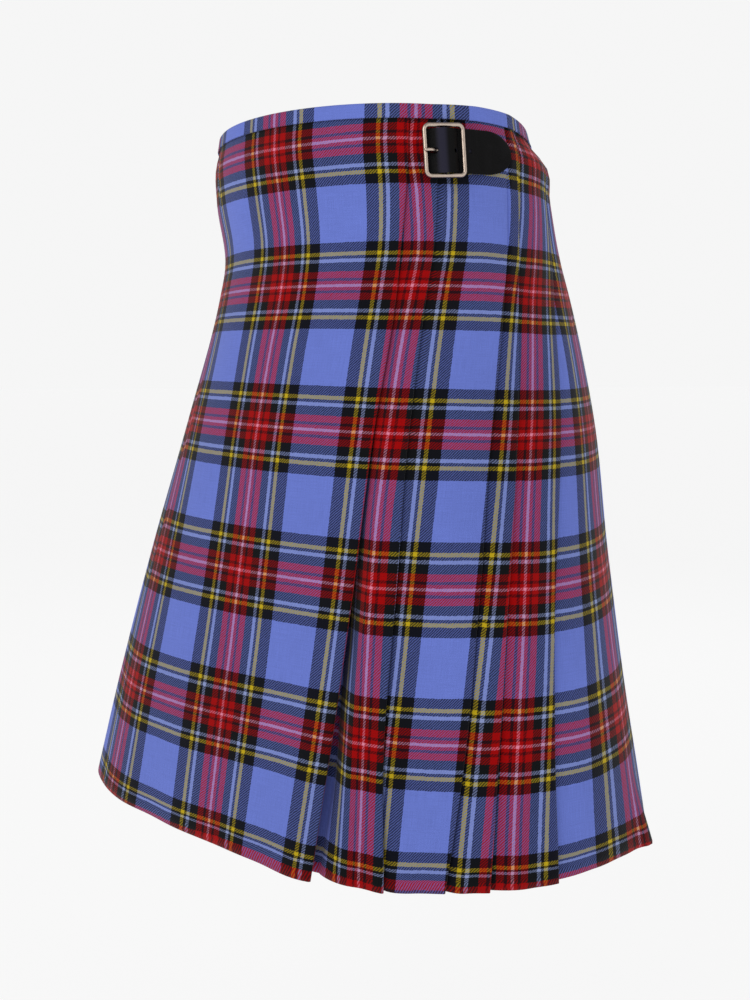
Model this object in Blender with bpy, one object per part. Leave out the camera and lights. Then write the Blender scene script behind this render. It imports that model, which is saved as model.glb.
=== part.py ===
import math

import bmesh
import bpy
import numpy as np

for old in list(bpy.data.objects):
    bpy.data.objects.remove(old, do_unlink=True)

# Driving dimensions in millimetres, turned to metres where a mesh is made.
# +Z is up, the wearer's front is -Y, the wearer's left is +X, and the waist centre is the origin.
CLOTH = 1.2            # wool as worn, measured level
LAYER_GAP = 0.4        # air between the layers of a pleat
SEAM = 0.3             # air between two pieces at a seam
BAND_CLOTH = 1.1
BAND_DEPTH = 10.6
BAND_GAP = 0.45        # air between the band and the cloth that it binds
CLOTH_TOP = 1.5        # the cloth stops this far below the top of the band
HEM_DOWN = 501.0
FOLD_MOST = 20.0       # hidden depth of a pleat at the hip and below
FOLD_SHARE = 0.55      # share of a narrow panel that its fold may take
OVER_LIFT = 4.6        # how far the free edge of the over apron stands off the pleats
STRAP_WIDTH, STRAP_THICK = 29.6, 1.4
TAB_WIDTH, TAB_THICK = 22.0, 1.0
FRAME_WIDTH, FRAME_HEIGHT, FRAME_WIRE = 31.0, 36.4, 3.0
FRAME_CORNER, FRAME_STAND, BAR_WIRE, BAR_STAND = 5.0, 6.0, 2.0, 4.0
PRONG_WIRE = 2.0
BUCKLE_ANGLE, BUCKLE_DOWN = 97.0, 31.8
CLOSURE_TILT = 3.6     # degrees that the strap and buckle rise away from the front

# Distance from the waist's axis at angles from the wearer's front, a row per level.
ANGLES = (0, 28, 50, 70, 90, 115, 145, 180)
LEVELS = (
    # down, front, 28, 50, 70, 90, 115, 145, back
    (0, 125.5, 128, 135, 141, 144.5, 138, 119.5, 112),
    (12, 127.5, 129.5, 136, 142, 145.3, 139.5, 123.5, 117.5),
    (23, 129, 131, 137, 143, 146, 141, 131, 127),
    (99, 124, 130, 140, 147, 152, 149, 146, 144),
    (122, 128, 136, 145, 153, 158, 156, 152.5, 150.5),
    (219, 156, 156, 164, 175, 187, 193, 177, 169),
    (318, 186, 178, 179, 196, 215, 226, 190, 180),
    (417, 211, 205, 196, 218, 238, 250, 206, 192),
    (501, 231, 223, 216, 248, 260, 271, 222, 194),
)
# Angle of each free fold edge from the left hip to the back, a row per level, and of the last one at the right hip.
EDGES = (
    # down, apron, second, third, fourth, fifth, sixth, last
    (0, 87.6, 97, 121, 127, 150, 172, 268),
    (23, 87.6, 96, 120, 126, 149, 171, 268),
    (99, 85.3, 94, 117, 122, 142, 169, 268),
    (122, 84.3, 92, 114, 119, 137, 167, 268),
    (219, 78.7, 86, 103, 109, 122, 159, 269),
    (318, 75.1, 83, 97, 102, 111.5, 150, 270),
    (417, 72.3, 81, 93, 98, 107, 145, 271),
    (501, 70.5, 81, 89, 95, 105, 142, 272),
)
BACK_PLEATS = 11       # pleats after the sixth, evenly spread to the last
WIDE_PANEL = 5         # the panel between the fifth and the sixth, which turns the corner to the back
# How far the first pleat and the others open inwards, and how much straighter the under apron hangs.
OPENING = (
    # down, apron pleat, other pleats, under apron
    (0, 0, 0, 5.2),
    (219, 1.5, 0, 5.2),
    (280, 5, 0.25, 9.4),
    (318, 10, 0.4, 12),
    (357, 14, 0.64, 17.9),
    (417, 15, 1.0, 27),
    (501, 12, 1.8, 46),
)
APRON_FREE = ((0, -86), (219, -84), (501, -72))   # down, angle of the over apron's free edge
BACK_END = 288.0       # where the pleated cloth meets the under apron
UNDER_END = 445.0      # where the under apron stops below the left buckle
RING_DOWN = (CLOTH_TOP, 11.5, 23, 56, 99, 122, 160, 219, 268, 318, 368, 417, 462, HEM_DOWN)


def through(rows, down):
    """Smooth line through the rows of a table, a value per column."""
    table = np.array(rows, float)
    xs, ys = table[:, 0], table[:, 1:]
    slope = np.gradient(ys, xs, axis=0)
    down = min(max(down, xs[0]), xs[-1])
    i = min(int(np.searchsorted(xs, down, side="right")) - 1, len(xs) - 2)
    h = xs[i + 1] - xs[i]
    t = (down - xs[i]) / h
    return (
        (2 * t**3 - 3 * t**2 + 1) * ys[i]
        + (t**3 - 2 * t**2 + t) * h * slope[i]
        + (3 * t**2 - 2 * t**3) * ys[i + 1]
        + (t**3 - t**2) * h * slope[i + 1]
    )


def straight(rows, down):
    """Straight lines through the rows of a table, a value per column."""
    table = np.array(rows, float)
    return [float(np.interp(down, table[:, 0], column)) for column in table[:, 1:].T]


WAVES = np.arange(6)
TO_WAVES = np.linalg.pinv(np.cos(np.outer(np.radians(ANGLES), WAVES)))


def place(down, angle, off):
    """World point of the visible cloth's level line at an angle, moved out by off. Millimetres in, metres out."""
    waves = TO_WAVES @ through(LEVELS, down)
    a = math.radians(angle)
    r = float(np.cos(WAVES * a) @ waves)
    dr = float((-WAVES * np.sin(WAVES * a)) @ waves)
    point = np.array((r * math.sin(a), -r * math.cos(a)))
    along = np.array((dr * math.sin(a) + r * math.cos(a), -dr * math.cos(a) + r * math.sin(a)))
    out = np.array((along[1], -along[0])) / np.linalg.norm(along)
    x, y = point + out * off
    return (x / 1000, y / 1000, -down / 1000)


def radius(down, angle):
    return float(np.cos(WAVES * math.radians(angle)) @ (TO_WAVES @ through(LEVELS, down)))


def material(name, colour, metallic=0.0, roughness=0.7):
    made = bpy.data.materials.new(name)
    made.use_nodes = True
    shader = made.node_tree.nodes["Principled BSDF"]
    shader.inputs["Base Color"].default_value = (*colour, 1)
    shader.inputs["Metallic"].default_value = metallic
    shader.inputs["Roughness"].default_value = roughness
    return made


WOOL = (0.16, 0.20, 0.52)
LEATHER = (0.015, 0.015, 0.018)
METAL = (0.80, 0.72, 0.64)


def solid(name, points, faces, look):
    mesh = bpy.data.meshes.new(name)
    mesh.from_pydata([tuple(map(float, p)) for p in points], [], faces)
    bm = bmesh.new()
    bm.from_mesh(mesh)
    bmesh.ops.recalc_face_normals(bm, faces=bm.faces)
    if bm.calc_volume(signed=True) < 0:
        bmesh.ops.reverse_faces(bm, faces=bm.faces)
    bm.to_mesh(mesh)
    bm.free()
    made = bpy.data.objects.new(name, mesh)
    bpy.context.scene.collection.objects.link(made)
    made.data.materials.append(look)
    return made


def sweep(name, sections, look, closed=False):
    """Solid through closed sections of one count of points, with its ends capped, or joined when closed."""
    n, points, faces = len(sections[0]), [], []
    for section in sections:
        points += list(section)
    last = len(sections) - (0 if closed else 1)
    for i in range(last):
        a, b = i * n, ((i + 1) % len(sections)) * n
        for k in range(n):
            m = (k + 1) % n
            faces.append((a + k, a + m, b + m, b + k))
    if not closed:
        faces.append(tuple(range(n)))
        faces.append(tuple(reversed(range((len(sections) - 1) * n, len(sections) * n))))
    return solid(name, points, faces, look)


def both_sides(line, thick):
    """The two sides of a level centre line, square to it at each point."""
    line = np.array(line, float)
    step = np.diff(line[:, :2], axis=0)
    step /= np.linalg.norm(step, axis=1)[:, None]
    before, after = np.vstack([step[:1], step]), np.vstack([step, step[-1:]])
    mean = before + after
    mean /= np.linalg.norm(mean, axis=1)[:, None]
    reach = thick / 2000 / np.maximum((mean * after).sum(axis=1), 0.8)
    side = np.stack([mean[:, 1], -mean[:, 0], np.zeros(len(line))], axis=1) * reach[:, None]
    return line + side, line - side


def wall(name, rings, thick, look):
    """Cloth wall: a level centre line per ring, given a thickness and joined down the rings."""
    n, points, faces = len(rings[0]), [], []
    for ring in rings:
        out, inner = both_sides(ring, thick)
        points += list(out) + list(inner)
    for i in range(len(rings) - 1):
        a, b = 2 * n * i, 2 * n * (i + 1)
        for k in range(n - 1):
            faces.append((a + k, a + k + 1, b + k + 1, b + k))
            faces.append((a + n + k, b + n + k, b + n + k + 1, a + n + k + 1))
        faces.append((a, b, b + n, a + n))
        faces.append((a + n - 1, a + 2 * n - 1, b + 2 * n - 1, b + n - 1))
    low = 2 * n * (len(rings) - 1)
    for k in range(n - 1):
        faces.append((k, n + k, n + k + 1, k + 1))
        faces.append((low + k, low + k + 1, low + n + k + 1, low + n + k))
    return solid(name, points, faces, look)


STEP = CLOTH + LAYER_GAP
TURN = STEP / 2


def edges_at(down):
    """Angles of every free fold edge at a level, from the apron's to the last."""
    found = list(through(EDGES, down))
    first, last = found[5], found[6]
    return found[:6] + [first + (last - first) * (k + 1) / BACK_PLEATS for k in range(BACK_PLEATS)]


def fold_depths(down, edges):
    """Hidden depth of each pleat in degrees. The apron's pleat is the deep one."""
    depths = [14.0 / math.radians(1) / radius(down, edges[0])]
    for before, edge in zip(edges, edges[1:]):
        r = math.radians(1) * radius(down, edge)
        depths.append(min(FOLD_SHARE * (edge - before), FOLD_MOST / r))
    return depths


def turn(down, angle, off, way, angles):
    """Points of the half turn that takes a layer in by one step at an edge (way 1) or an inner fold (way -1)."""
    per = math.radians(1) * radius(down, angle)
    middle = off - TURN
    return [
        place(down, angle + way * TURN * math.sin(math.radians(a)) / per, middle + TURN * math.cos(math.radians(a)))
        for a in angles
    ]


def over_lift(angle):
    """How far the over apron stands out where it lies on the pleats of the right hip."""
    return OVER_LIFT * float(np.interp(angle, (-66, -42), (1, 0)))


def under_sink(angle):
    """Share of its full depth that the under apron has reached on its way round from the right hip."""
    share = float(np.interp(angle, (BACK_END + 1, BACK_END + 37), (0, 1)))
    return share * share * (3 - 2 * share)


# Over apron: free edge at the right front, round the front, and its left edge folded back under itself.
rings = []
for down in RING_DOWN:
    edges = edges_at(down)
    depth = fold_depths(down, edges)[0]
    open_in = straight(OPENING, down)[0]
    free = straight(APRON_FREE, down)[0]
    inner = edges[0] - depth
    angles = [free + (-66 - free) * k / 3 for k in range(3)] + [-66 + 6 * k for k in range(21)] + [54 + (inner - 54) * k / 4 for k in range(1, 5)]
    line = [place(down, angle, over_lift(angle) - CLOTH / 2) for angle in angles]
    line.append(place(down, edges[0], -CLOTH / 2))
    line += turn(down, edges[0], -CLOTH / 2, 1, (40, 90, 140))
    line.append(place(down, edges[0], -CLOTH / 2 - STEP))
    line.append(place(down, edges[0] - depth / 2, -CLOTH / 2 - STEP - open_in / 2))
    line.append(place(down, edges[0] - depth, -CLOTH / 2 - STEP - open_in))
    rings.append(line)
wall("over_apron", rings, CLOTH, material("wool_over_apron", WOOL, roughness=0.9))

# Pleated back: one folded cloth of knife pleats, each visible panel lying over the start of the next.
rings = []
for down in RING_DOWN:
    edges = edges_at(down)
    depths = fold_depths(down, edges)
    deep, small = straight(OPENING, down)[:2]
    top, bottom = -CLOTH / 2, -CLOTH / 2 - 2 * STEP
    line = [
        place(down, edges[0] - depths[0], bottom - deep),
        place(down, edges[0], bottom - deep * 0.93),
    ]
    for k in range(1, len(edges)):
        edge, depth = edges[k], depths[k]
        rise = edge - depth - edges[k - 1]
        if k == 1:
            start, power = bottom - deep * 0.93, np.interp(down, (318, 420, 501), (1.15, 1.25, 1.5))
            for share in (0.33, 0.67):
                line.append(place(down, edges[0] + rise * share, top + (start - top) * (1 - share) ** power))
        elif k == WIDE_PANEL:
            line.append(place(down, edges[k - 1] + rise * 0.14, top * 0.65 + bottom * 0.35))
            line += [place(down, edges[k - 1] + rise * share, top) for share in (0.3, 0.52, 0.76)]
        else:
            line.append(place(down, edges[k - 1] + rise * 0.5, top * 0.65 + bottom * 0.35))
        line.append(place(down, edge - depth, top))
        line.append(place(down, edge, top))
        line += turn(down, edge, top, 1, (40, 90, 140))
        line.append(place(down, edge - depth, top - STEP - small))
        line += turn(down, edge - depth, top - STEP - small, -1, (60, 120))
        line.append(place(down, edge, bottom - small))
    for share in (0.25, 0.5, 0.75, 1):
        line.append(place(down, edges[-1] + (BACK_END - edges[-1]) * share, bottom))
    rings.append(line)
wall("pleated_back", rings, CLOTH, material("wool_pleats", WOOL, roughness=0.9))

UNDER_ANGLES = [BACK_END + 6 * k for k in range(1, 26)] + [UNDER_END]
# Under apron: plain cloth from the right hip, behind the over apron, to below the left buckle.
rings = []
for down in RING_DOWN:
    hangs = straight(OPENING, down)[2]
    start = BACK_END + SEAM / (math.radians(1) * radius(down, BACK_END))
    line = []
    for angle in [start] + UNDER_ANGLES:
        line.append(place(down, angle, -CLOTH / 2 - 2 * STEP - under_sink(angle) * hangs))
    rings.append(line)
wall("under_apron", rings, CLOTH, material("wool_under_apron", WOOL, roughness=0.9))

# Waistband: one strip folded over the top edge, from the over apron's free edge right round to the end
# of the under apron.
stack = -2 * STEP - CLOTH
sections = []
for angle in [-86 + 20 * k / 3 for k in range(3)] + [-66 + 6 * k for k in range(60)] + UNDER_ANGLES:
    if angle < 100:
        outer = over_lift(angle)
        inner = float(np.interp(angle, (54, 78), (outer - CLOTH, stack)))
    elif angle < BACK_END + 1:
        outer = float(np.interp(angle, (270, 282), (0, -2 * STEP)))
        inner = stack
    else:
        outer = -2 * STEP - under_sink(angle) * straight(OPENING, 0)[2]
        inner = outer - CLOTH
    outer, inner = outer + BAND_GAP, inner - BAND_GAP
    sections.append([
        place(BAND_DEPTH, angle, outer),
        place(BAND_DEPTH, angle, outer + BAND_CLOTH),
        place(0.5, angle, outer + BAND_CLOTH),
        place(0, angle, outer + BAND_CLOTH - 0.5),
        place(0, angle, inner - BAND_CLOTH + 0.5),
        place(0.5, angle, inner - BAND_CLOTH),
        place(BAND_DEPTH, angle, inner - BAND_CLOTH),
        place(BAND_DEPTH, angle, inner),
        place(1.1, angle, inner),
        place(1.1, angle, outer),
    ])
sweep("waistband", sections, material("wool_waistband", WOOL, roughness=0.9))


def tilted(x, y):
    t = math.radians(CLOSURE_TILT)
    return x * math.cos(t) - y * math.sin(t), x * math.sin(t) + y * math.cos(t)


def along_cloth(side, x, y, n):
    """A point of the closure that lies on the cloth: x along it away from the front, y up, n out."""
    x, y = tilted(x, y)
    per = math.radians(1) * radius(BUCKLE_DOWN, BUCKLE_ANGLE)
    return place(BUCKLE_DOWN - y, side * (BUCKLE_ANGLE + x / per), n)


def stiff(side, x, y, n):
    """A point of the metal, which keeps to the flat plane that touches the cloth below the buckle."""
    above, below = (np.array(place(BUCKLE_DOWN + far, side * BUCKLE_ANGLE, 0)) for far in (-12, 12))
    more = np.array(place(BUCKLE_DOWN - 12, side * BUCKLE_ANGLE, 1)) - above
    up = (above - below) / np.linalg.norm(above - below)
    along = side * np.array((-more[1], more[0], 0)) * 1000
    out = side * np.cross(along, up)
    x, y = tilted(x, y)
    return (above + below) / 2 + (along * x + out * n + up * y) / 1000


def strip(name, side, path, widths, thick, look):
    """Leather strip along a path of (x, n) points, with a half width at each."""
    sections = []
    path = np.array(path, float)
    step = np.diff(path, axis=0)
    step /= np.linalg.norm(step, axis=1)[:, None]
    mean = np.vstack([step[:1], step]) + np.vstack([step, step[-1:]])
    mean /= np.linalg.norm(mean, axis=1)[:, None]
    for (x, n), (dx, dn), half in zip(path, mean, widths):
        sx, sn = -dn * thick / 2, dx * thick / 2
        sections.append([
            along_cloth(side, x + sx * a, y, n + sn * a)
            for a, y in ((1, -half), (1, 0), (1, half), (-1, half), (-1, 0), (-1, -half))
        ])
    return sweep(name, sections, look)


def tube(name, centres, across, wire, look, closed=False, sides=10):
    """Round wire along centres. across gives the two directions of its section at each."""
    sections = []
    for centre, (u, v) in zip(centres, across):
        sections.append([
            np.array(centre) + (np.array(u) * math.cos(t) + np.array(v) * math.sin(t)) * wire / 2000
            for t in (2 * math.pi * k / sides for k in range(sides))
        ])
    return sweep(name, sections, look, closed)


def cut(target, kind, other):
    other.hide_render = True
    other.hide_viewport = True
    made = target.modifiers.new(kind.lower(), "BOOLEAN")
    made.operation = kind
    made.solver = "EXACT"
    made.object = other


def closure(side, word, strap_start):
    leather = material("leather_" + word, LEATHER, roughness=0.35)
    metal = material("metal_" + word, METAL, metallic=1.0, roughness=0.25)
    here = stiff(side, 0, 0, 0)
    along, up, out = (stiff(side, *axis) - here for axis in ((1, 0, 0), (0, 1, 0), (0, 0, 1)))
    along, up, out = along * 1000, up * 1000, out * 1000

    # Strap: under the near bar, over the middle bar, under the far bar, and a rounded tip beyond.
    path = strap_start + [
        (-12.4, 3.4), (-9.6, 4.0), (-7, 5.2), (-4.4, 6.9), (-2.2, 7.95), (0, 8.25), (2.2, 8), (5, 7), (9, 5.1), (12.4, 3.6),
        (16, 3.6), (20, 3.5), (24, 2.8), (28, 1.9), (33, 1.3), (38, 1.25), (46, 1.25), (51, 1.25), (55, 1.25), (58.5, 1.25),
        (61.5, 1.25), (63.5, 1.25), (64.6, 1.25),
    ]
    halves = []
    for x, _ in path:
        t = max(0.0, (x - 38) / 27.0)
        halves.append(STRAP_WIDTH / 2 * math.sqrt(max(1 - t ** 2.2, 0.004)))
    strap = strip(word + "_strap", side, path, halves, STRAP_THICK, leather)
    for number, (x, long, wide) in enumerate(((-5.6, 7.2, 2.9), (8.2, 2.4, 2.4), (20.4, 2.4, 2.4))):
        ring = []
        for k in range(16):
            t = 2 * math.pi * k / 16
            ring.append((x + math.copysign((long - wide) / 2, math.cos(t)) + wide / 2 * math.cos(t), wide / 2 * math.sin(t)))
        punch = sweep(
            f"punch_{word}_{number}",
            [[stiff(side, px, py, low) for px, py in ring] for low in (0.7, 11)],
            leather,
        )
        cut(strap, "DIFFERENCE", punch)

    # Tab: a short doubled strip round the middle bar, slotted for the prong, stitched to the cloth.
    path = [(23, 0.9), (14, 0.9), (7, 0.9), (4, 1.5), (2, 2.1)]
    path += [(1.75 * math.cos(math.radians(a)), BAR_STAND + 1.75 * math.sin(math.radians(a))) for a in (-90, -135, 180, 135, 90, 60)]
    path += [(3.4, 4.6), (6.0, 3.0), (9, 2.15), (18, 2.1)]
    tab = strip(word + "_buckle_tab", side, path, [TAB_WIDTH / 2] * len(path), TAB_THICK, leather)
    slot = [(-4, -1.5), (4.6, -1.5), (4.6, 1.5), (-4, 1.5)]
    cut(tab, "DIFFERENCE", sweep(f"slot_{word}", [[stiff(side, x, y, n) for x, y in slot] for n in (0.2, 8)], leather))

    # Frame: a rounded rectangle of wire with a thinner middle bar set lower.
    half_x, half_y = (FRAME_WIDTH - FRAME_WIRE) / 2, (FRAME_HEIGHT - FRAME_WIRE) / 2
    bend = FRAME_CORNER - FRAME_WIRE / 2
    centres, across = [], []
    for cx, cy, start in ((1, 1, 0), (-1, 1, 90), (-1, -1, 180), (1, -1, 270)):
        for k in range(5):
            a = math.radians(start + 22.5 * k)
            centres.append(stiff(side, cx * (half_x - bend) + bend * math.cos(a), cy * (half_y - bend) + bend * math.sin(a), FRAME_STAND))
            across.append((along * math.cos(a) + up * math.sin(a), out))
    frame = tube(word + "_buckle_frame", centres, across, FRAME_WIRE, metal, closed=True)
    bar = tube(
        "bar_" + word,
        [stiff(side, 0, y, FRAME_STAND + (BAR_STAND - FRAME_STAND) * share) for y, share in ((-half_y - 0.2, 0.15), (-half_y + 3.2, 1), (half_y - 3.2, 1), (half_y + 0.2, 0.15))],
        [(along, out)] * 4,
        BAR_WIRE,
        metal,
    )
    cut(frame, "UNION", bar)

    # Prong: looped on the middle bar, up through the strap's hole, its tip resting on the near bar.
    reach = BAR_WIRE / 2 + 0.2 + PRONG_WIRE / 2
    path = [(reach * math.cos(math.radians(a)), BAR_STAND + reach * math.sin(math.radians(a))) for a in range(190, 451, 20)]
    path += [(-2.0, 5.98), (-4.5, 6.05), (-6.6, 6.6), (-9.6, 8.0), (-12.4, 8.62), (-14.7, 8.7)]
    step = np.gradient(np.array(path), axis=0)
    step /= np.linalg.norm(step, axis=1)[:, None]
    tube(
        word + "_buckle_prong",
        [stiff(side, x, 0, n) for x, n in path],
        [(along * -dn + out * dx, up) for dx, dn in step],
        PRONG_WIRE,
        metal,
        sides=8,
    )


closure(1, "left", [(-13.6, 3.0)])
closure(-1, "right", [(-60, 5.65), (-48, 5.65), (-36, 5.65), (-26, 5.65), (-20.5, 4.7), (-15.5, 3.4)])
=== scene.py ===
import math

import bmesh
import bpy
import numpy as np
from mathutils import Matrix, Vector


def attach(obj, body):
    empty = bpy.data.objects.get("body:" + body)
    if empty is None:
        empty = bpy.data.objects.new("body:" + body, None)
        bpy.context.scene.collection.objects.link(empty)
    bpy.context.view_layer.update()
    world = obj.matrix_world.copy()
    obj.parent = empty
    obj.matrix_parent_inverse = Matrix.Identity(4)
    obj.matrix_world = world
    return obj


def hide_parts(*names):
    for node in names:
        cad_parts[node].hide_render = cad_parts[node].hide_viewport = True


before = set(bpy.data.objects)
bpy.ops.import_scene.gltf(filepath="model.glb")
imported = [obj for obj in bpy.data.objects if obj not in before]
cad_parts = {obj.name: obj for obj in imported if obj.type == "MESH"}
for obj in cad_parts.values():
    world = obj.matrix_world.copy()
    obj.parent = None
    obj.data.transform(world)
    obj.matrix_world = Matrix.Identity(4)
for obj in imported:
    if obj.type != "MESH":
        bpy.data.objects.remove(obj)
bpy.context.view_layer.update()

# ---- Pleated back ----
# One length of worsted wool folded into knife pleats, pressed, sewn down to the hip and left free
# below it. Each pleat lies over the start of the next, so that the tartan reads on across the folds.
SOLID_WOOL, WOOL = 1.2, 1.1    # thickness of the wool in the solids, and of the shell inside it
FACE = -SOLID_WOOL / 2         # offset of the middle of the outermost layer
LAYER = 1.6                    # from one layer of a fold to the next
TURN = LAYER / 2
TURN_STEPS = (30, 60, 90, 120, 150)
TURN_TAKES = 2.5               # cloth across the tartan that goes into one turn
FOLD_UNDER = 14.0              # width of the apron's fold, and of the start of the pleats under it
FOLD_SHARE, FOLD_MOST = 0.55, 20.0
SETT = 102.0                   # one full repeat of the tartan
CLOTH_TOP, HEM_DOWN = 1.5, 501.0
FIRST_ANGLE, LAST_ANGLE = -110, 460    # the cloth lies between them, counted from the front
ANGLES = (0, 28, 50, 70, 90, 115, 145, 180)
LEVELS = (
    # down, distance from the waist's axis at each of those angles from the front
    (0, 125.5, 128, 135, 141, 144.5, 138, 119.5, 112),
    (12, 127.5, 129.5, 136, 142, 145.3, 139.5, 123.5, 117.5),
    (23, 130, 131.4, 137, 143, 146, 141, 133, 129.5),
    (48, 129.8, 131.8, 137.7, 143.8, 147.1, 142.4, 136.2, 134),
    (99, 124, 130, 140, 147, 152, 149, 146, 144),
    (122, 128, 136, 145, 153, 158, 156, 152.5, 150.5),
    (219, 156, 156, 164, 175, 187, 193, 177, 169),
    (318, 186, 178, 179, 196, 215, 226, 190, 180),
    (417, 211, 205, 196, 218, 238, 250, 206, 192),
    (501, 231, 223, 216, 248, 260, 271, 222, 194),
)
EDGES = (
    # down, angle of each fold edge from the apron's to the sixth, and of the last
    (0, 87.6, 97, 121, 127, 150, 172, 268),
    (23, 87.6, 96, 120, 126, 149, 171, 268),
    (99, 85.3, 94, 117, 122, 142, 169, 268),
    (122, 84.3, 92, 114, 119, 137, 167, 268),
    (219, 78.7, 86, 103, 109, 122, 159, 269),
    (318, 75.1, 83, 97, 102, 111.5, 150, 270),
    (417, 72.3, 81, 93, 98, 107, 145, 271),
    (501, 70.5, 81, 89, 95, 105, 142, 272),
)
OPENING = (
    # down, how far the apron's pleat opens inwards, the other pleats, and the under apron
    (0, 0, 0, 5.2),
    (219, 1.5, 0, 5.2),
    (280, 5, 0.25, 9.4),
    (318, 10, 0.4, 12),
    (357, 14, 0.64, 17.9),
    (417, 15, 1.0, 27),
    (501, 12, 1.8, 46),
)
BACK_PLEATS = 11
WIDE_PANEL = 5                 # the panel that lies flat, between the near pleats and those of the back
BACK_END = 288.0
STRIPES = (
    # down, angle of the white thread left of the front, of the next at the left front (with its far
    # yellow), on the second pleat (with its ground), on the fourth (with its near yellow), on the fifth
    (0, -1, 47.6, 80.5, 89.8, 103.7, 124.9, 137.3, 146, 160),
    (23, 0.5, 47.4, 80.1, 88.9, 103.9, 125.0, 137.0, 146, 159),
    (60, 2.0, 49.7, 80.9, 90.2, 104.6, 125.6, 136.0, 145.3, 157.6),
    (99, 4.5, 52.2, 80.5, 90.3, 103.0, 122.1, 130.5, 142.2, 154.3),
    (122, 6.0, 52.5, 79.3, 88.4, 100.5, 117.8, 125.8, 139.3, 150.9),
    (170, 8.3, 50.5, 76.9, 84.8, 96.1, 111.0, 118.6, 134.5, 145.3),
    (219, 9.9, 48.5, 75.0, 82.2, 92.7, 106.0, 113.0, 128.7, 139.9),
    (268, 12.0, 47.5, 73.5, 80.1, 90.1, 102.0, 108.5, 123.6, 134.2),
    (318, 13.4, 46.8, 72.1, 78.9, 87.9, 98.8, 105.2, 119.5, 130.6),
    (368, 14.1, 46.8, 70.8, 78.3, 86.2, 96.3, 102.9, 117.1, 128.5),
    (417, 14.5, 46.8, 69.7, 78.0, 84.6, 94.2, 101.0, 115.4, 127.3),
    (460, 14.8, 47.1, 68.9, 77.8, 83.4, 92.5, 99.5, 114.0, 126.0),
    (501, 14.8, 47.6, 68.2, 77.6, 82.3, 91.0, 98.3, 112.8, 124.4),
)
READS = {
    # which of those lines each panel shows, and how far across the cloth each is
    0: ((0, -SETT), (1, 0), (2, 79.9)),
    1: ((3, 102),),
    2: ((4, 132.7), (5, 181.9)),
    3: ((5, 181.9),),
    4: ((6, 204),),
    5: ((7, 275.3), (8, 306)),
}
SECOND_READS = 112.4           # the second pleat shows nothing before this while it lies closed
SECOND_OPENS, OPENS_BETWEEN = 12, (230, 330)    # it shows so much more below these levels
SIXTH_READS, PLEAT_READS = 331.0, 19.5
FIRST_AHEAD = 1.2              # degrees that the first pleat starts nearer the front, half way down
AHEAD_GROWS, AHEAD_ENDS = (240, 320), (450, 390)
FIRST_CLIMB = ((318, 420, 501), (1.15, 1.25, 1.5))  # down, and how fast it climbs out of its fold
CLIMB, WIDE_CLIMB = 1.5, 0.3   # of the other pleats, and the share of the wide panel that climbs
FOLD_RISE = 0.07               # share of the first fold's depth that its own cloth has climbed
FOLD_READS, LAST_FOLD_READS = 45.0, 40.0            # cloth across the tartan that a fold hides, about
RAMP_SCALE = ((330, 380, 440), (4.6, 5.2, 5.97))    # down, and the cloth to a degree on the first pleat
RAMP_DRAWN = (280, 330)
WEFT = (
    # down, how far down the tartan is there
    (0, -23.2), (23, 0), (122, 102), (219, 204), (318, 306), (417, 408),
    (487.6, 487.5), (491.5, 493.4), (495.2, 500), (510, 506),
)
SAG_ANGLES = (10, 35, 50, 65, 80, 95, 110, 125, 150)
SAG = (
    # down, how far the tartan's level lines hang below their even height at each of those angles
    (0, 2.3, 2.0, 2.0, 1.7, 0.6, 0, -1.2, -1, 0),
    (30, 2.6, 2.3, 2.5, 2.0, 0.5, 0.2, -1.2, -0.8, 0),
    (60, 1.9, 2.0, 1.8, 1.1, 0.3, -0.2, -0.8, -1, -0.4),
    (99, 0.5, 0.3, 0.4, 0.3, -0.2, -0.6, -0.9, 0.3, 0.1),
    (130, -0.4, -0.5, -0.6, -0.5, -0.1, 0, 0.2, 1.8, 1.1),
    (160, -1.5, -1.1, -0.9, -0.8, 0.3, 0.6, 1.5, 2.8, 1.6),
    (190, -2.7, -2.6, -1.7, -0.8, 0.6, 1.4, 2.5, 3.3, 1.8),
    (219, -3.2, -2.8, -1.8, -0.5, 0.9, 1.6, 3.1, 3.2, 2),
    (268, -3.1, -1.9, -0.6, 0.3, 1, 1.3, 3, 2.6, 1.8),
    (318, -2, -1.2, 0.1, 0.5, 1.3, 0.5, 2.7, 2.2, 1.6),
    (350, -1, -0.8, 0.2, 0.4, 1, 0.1, 1.6, 1.8, 1.1),
    (385, -0.2, -0.5, 0.3, 0.3, 0.8, -0.6, 0.4, 0.8, 0.9),
    (417, 0.8, 0, -0.2, -0.2, 0.1, -0.9, -0.2, 0.9, 1.2),
    (450, 2, 1.7, 0.6, -0.1, 0.4, 0.6, 1.1, 1.8, 1.4),
    (501, 1.9, 1.4, -0.2, -0.8, 0.6, 0.4, 1, 1.9, 1.6),
)
PLEAT_SLIPS = {2: -3.6}        # how far a pleat's own tartan has slipped down at the hem
SLIPS_BETWEEN = (340, 460)
WAIST_LIFT = ((94, 108, 124, 134, 146), (0, 1.8, 2.4, 1.2, 0))    # angles, how far it is drawn up there
HEM_LIFT = ((105, 111, 118, 126, 132, 139), (0, 1.6, 0, -4, -3.5, 0))
WAIST_LIFT_ENDS, HEM_LIFT_STARTS = 70, 430
CREASE_FADES = 1.4             # a crease has died out at this share of its length, beyond its foot
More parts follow.
